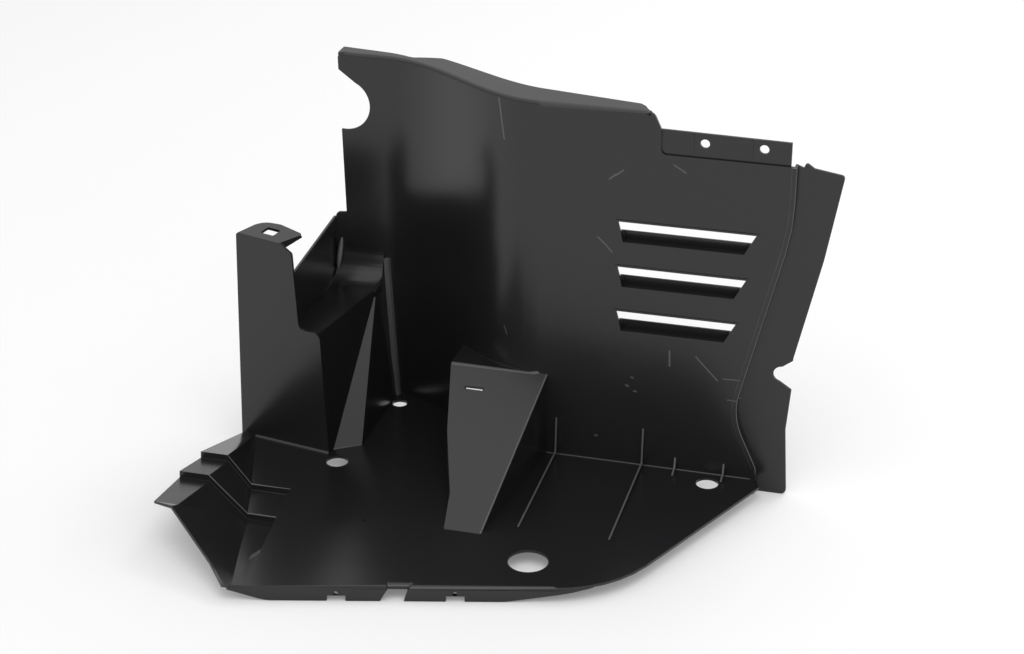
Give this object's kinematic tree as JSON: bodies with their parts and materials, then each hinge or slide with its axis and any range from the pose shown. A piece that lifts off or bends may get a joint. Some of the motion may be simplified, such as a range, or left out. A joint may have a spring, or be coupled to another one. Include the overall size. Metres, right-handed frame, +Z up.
{
  "type": "wheel arch liner",
  "caption": "Moulded plastic wheel arch liner section: a floor panel and louvred wall with a side box, stepped flap, hollow ramp, flange and screw tab.",
  "frame": {"origin": "centre of the large access hole, on the floor panel's upper face", "axes": "+X along the louvred wall towards its flange, +Y from the floor's front edge back to the wall, +Z up the wall"},
  "size_m": [0.5413, 0.3807, 0.3528],
  "materials": {
    "liner": "satin black, moulded"
  },
  "bodies": {
    "root": {"liner": "liner"}
  },
  "joints": []
}
